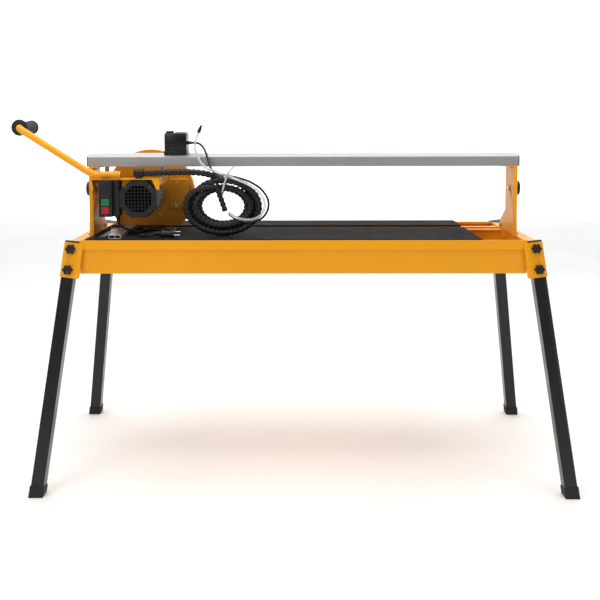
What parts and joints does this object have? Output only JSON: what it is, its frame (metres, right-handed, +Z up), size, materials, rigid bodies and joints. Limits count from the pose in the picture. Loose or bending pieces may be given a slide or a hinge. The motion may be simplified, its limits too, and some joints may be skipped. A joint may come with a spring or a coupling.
{
  "type": "bridge tile saw",
  "caption": "Wet tile saw: a motor and guarded blade ride on rollers along a tilting aluminium guide rail over a slotted table on splayed legs.",
  "frame": {"origin": "on the floor under the middle of the outline, cords left out", "axes": "+X along the cut, away from the parked saw head; +Y away from the operator; +Z up"},
  "size_m": [1.7356, 0.7522, 1.126],
  "materials": {
    "frame_paint": "satin orange-yellow powder coat",
    "leg_enamel": "satin black",
    "black_plastic": "matte",
    "table_rubber": "matte, fine ribbed",
    "grip_rubber": "matte",
    "rail_aluminium": "satin anodised",
    "motor_aluminium": "cast",
    "end_cap_grey": "matte",
    "zinc_steel": "bright zinc",
    "blade_steel": "ground",
    "start_green": "gloss",
    "stop_red": "gloss",
    "harness_black": "satin",
    "cord_black": "satin"
  },
  "bodies": {
    "frame": {"front_rail": "frame_paint", "rear_rail": "frame_paint", "end_rail_left": "frame_paint", "end_rail_right": "frame_paint", "leg_brackets": "frame_paint", "leg_front_left": "leg_enamel", "leg_front_right": "leg_enamel", "leg_rear_left": "leg_enamel", "leg_rear_right": "leg_enamel", "leg_caps": "black_plastic", "leg_feet": "black_plastic", "front_table": "table_rubber", "rear_table": "table_rubber", "slot_rails": "frame_paint", "water_tray": "frame_paint", "tilt_brackets": "frame_paint", "pivot_bolts": "zinc_steel", "angle_stop": "leg_enamel"},
    "fence": {"fence": "rail_aluminium"},
    "drain_plug": {"drain_plug": "black_plastic"},
    "bridge": {"guide_rail": "rail_aluminium", "rail_end_caps": "end_cap_grey", "arm_left": "frame_paint", "arm_right": "frame_paint", "rail_bolts": "zinc_steel"},
    "tilt_knob_left": {"tilt_knob_left": "black_plastic"},
    "tilt_knob_right": {"tilt_knob_right": "black_plastic"},
    "carriage": {"carriage_plate": "frame_paint", "roller_posts": "zinc_steel", "handle_tube": "frame_paint", "handle_grip": "grip_rubber", "motor_housing": "motor_aluminium", "motor_bell": "motor_aluminium", "fan_cover": "black_plastic", "switch_box": "black_plastic", "blade_guard": "frame_paint", "water_pump": "black_plastic", "harness_gland": "black_plastic", "harness_lead": "harness_black", "harness_coil": "harness_black", "pump_lead": "cord_black", "mains_lead": "cord_black", "mains_coil": "cord_black", "mains_plug": "black_plastic"},
    "rotor": {"spindle": "zinc_steel", "cooling_fan": "black_plastic", "blade": "blade_steel", "blade_flanges": "zinc_steel"},
    "rollers_left": {"rollers_left": "zinc_steel"},
    "rollers_right": {"rollers_right": "zinc_steel"},
    "start_button": {"start_button": "start_green"},
    "stop_button": {"stop_button": "stop_red"},
    "knob_front_left_top": {"knob_front_left_top": "black_plastic"},
    "knob_front_left_low": {"knob_front_left_low": "black_plastic"},
    "knob_front_right_top": {"knob_front_right_top": "black_plastic"},
    "knob_front_right_low": {"knob_front_right_low": "black_plastic"},
    "knob_rear_left_top": {"knob_rear_left_top": "black_plastic"},
    "knob_rear_left_low": {"knob_rear_left_low": "black_plastic"},
    "knob_rear_right_top": {"knob_rear_right_top": "black_plastic"},
    "knob_rear_right_low": {"knob_rear_right_low": "black_plastic"}
  },
  "joints": [
    {"name": "bridge_tilt", "type": "hinge", "parent": "frame", "child": "bridge", "pos_m": [0.04816, 0.045, 0.7643], "axis": [-1, 0, 0], "range_deg": [0, 45]},
    {"name": "carriage_slide", "type": "slide", "parent": "bridge", "child": "carriage", "axis": [1, 0, 0], "range_m": [0, 1.05]},
    {"name": "blade_spin", "type": "hinge", "parent": "carriage", "child": "rotor", "pos_m": [-0.46484, 0.045, 0.877], "axis": [0, 1, 0], "continuous": true},
    {"name": "rollers_left_roll", "type": "hinge", "parent": "carriage", "child": "rollers_left", "pos_m": [-0.58654, -0.08, 0.98705], "axis": [0, 1, 0], "range_deg": [-20, 7560]},
    {"name": "rollers_right_roll", "type": "hinge", "parent": "carriage", "child": "rollers_right", "pos_m": [-0.40654, -0.08, 0.98705], "axis": [0, 1, 0], "range_deg": [-20, 7560]},
    {"name": "start_press", "type": "slide", "parent": "carriage", "child": "start_button", "axis": [0, 1, 0], "range_m": [0, 0.003], "stiffness_N_per_m": 600},
    {"name": "stop_press", "type": "slide", "parent": "carriage", "child": "stop_button", "axis": [0, 1, 0], "range_m": [0, 0.003], "stiffness_N_per_m": 600},
    {"name": "tilt_knob_left_turn", "type": "hinge", "parent": "frame", "child": "tilt_knob_left", "pos_m": [-0.64684, -0.06089, 0.89984], "axis": [-1, 0, 0], "continuous": true},
    {"name": "tilt_knob_right_turn", "type": "hinge", "parent": "frame", "child": "tilt_knob_right", "pos_m": [0.74316, -0.06089, 0.89984], "axis": [1, 0, 0], "continuous": true},
    {"name": "fence_pull", "type": "slide", "parent": "frame", "child": "fence", "axis": [0, -1, 0], "range_m": [0, 0.1]},
    {"name": "drain_plug_pull", "type": "slide", "parent": "frame", "child": "drain_plug", "axis": [0, 0, -1], "range_m": [0, 0.02]},
    {"name": "knob_front_left_top_turn", "type": "hinge", "parent": "frame", "child": "knob_front_left_top", "pos_m": [-0.6569, -0.27259, 0.73174], "axis": [0.0179, -0.9899, 0.1407], "continuous": true},
    {"name": "knob_front_left_low_turn", "type": "hinge", "parent": "frame", "child": "knob_front_left_low", "pos_m": [-0.66476, -0.28153, 0.66987], "axis": [0.0179, -0.9899, 0.1407], "continuous": true},
    {"name": "knob_front_right_top_turn", "type": "hinge", "parent": "frame", "child": "knob_front_right_top", "pos_m": [0.75323, -0.27259, 0.73174], "axis": [-0.0179, -0.9899, 0.1407], "continuous": true},
    {"name": "knob_front_right_low_turn", "type": "hinge", "parent": "frame", "child": "knob_front_right_low", "pos_m": [0.76109, -0.28153, 0.66987], "axis": [-0.0179, -0.9899, 0.1407], "continuous": true},
    {"name": "knob_rear_left_top_turn", "type": "hinge", "parent": "frame", "child": "knob_rear_left_top", "pos_m": [-0.6569, 0.27259, 0.73174], "axis": [0.0179, 0.9899, 0.1407], "continuous": true},
    {"name": "knob_rear_left_low_turn", "type": "hinge", "parent": "frame", "child": "knob_rear_left_low", "pos_m": [-0.66476, 0.28153, 0.66987], "axis": [0.0179, 0.9899, 0.1407], "continuous": true},
    {"name": "knob_rear_right_top_turn", "type": "hinge", "parent": "frame", "child": "knob_rear_right_top", "pos_m": [0.75323, 0.27259, 0.73174], "axis": [-0.0179, 0.9899, 0.1407], "continuous": true},
    {"name": "knob_rear_right_low_turn", "type": "hinge", "parent": "frame", "child": "knob_rear_right_low", "pos_m": [0.76109, 0.28153, 0.66987], "axis": [-0.0179, 0.9899, 0.1407], "continuous": true}
  ],
  "couplings": [
    {"joint": "rollers_left_roll", "follows": "carriage_slide", "rad_per_m": 125},
    {"joint": "rollers_right_roll", "follows": "carriage_slide", "rad_per_m": 125}
  ]
}
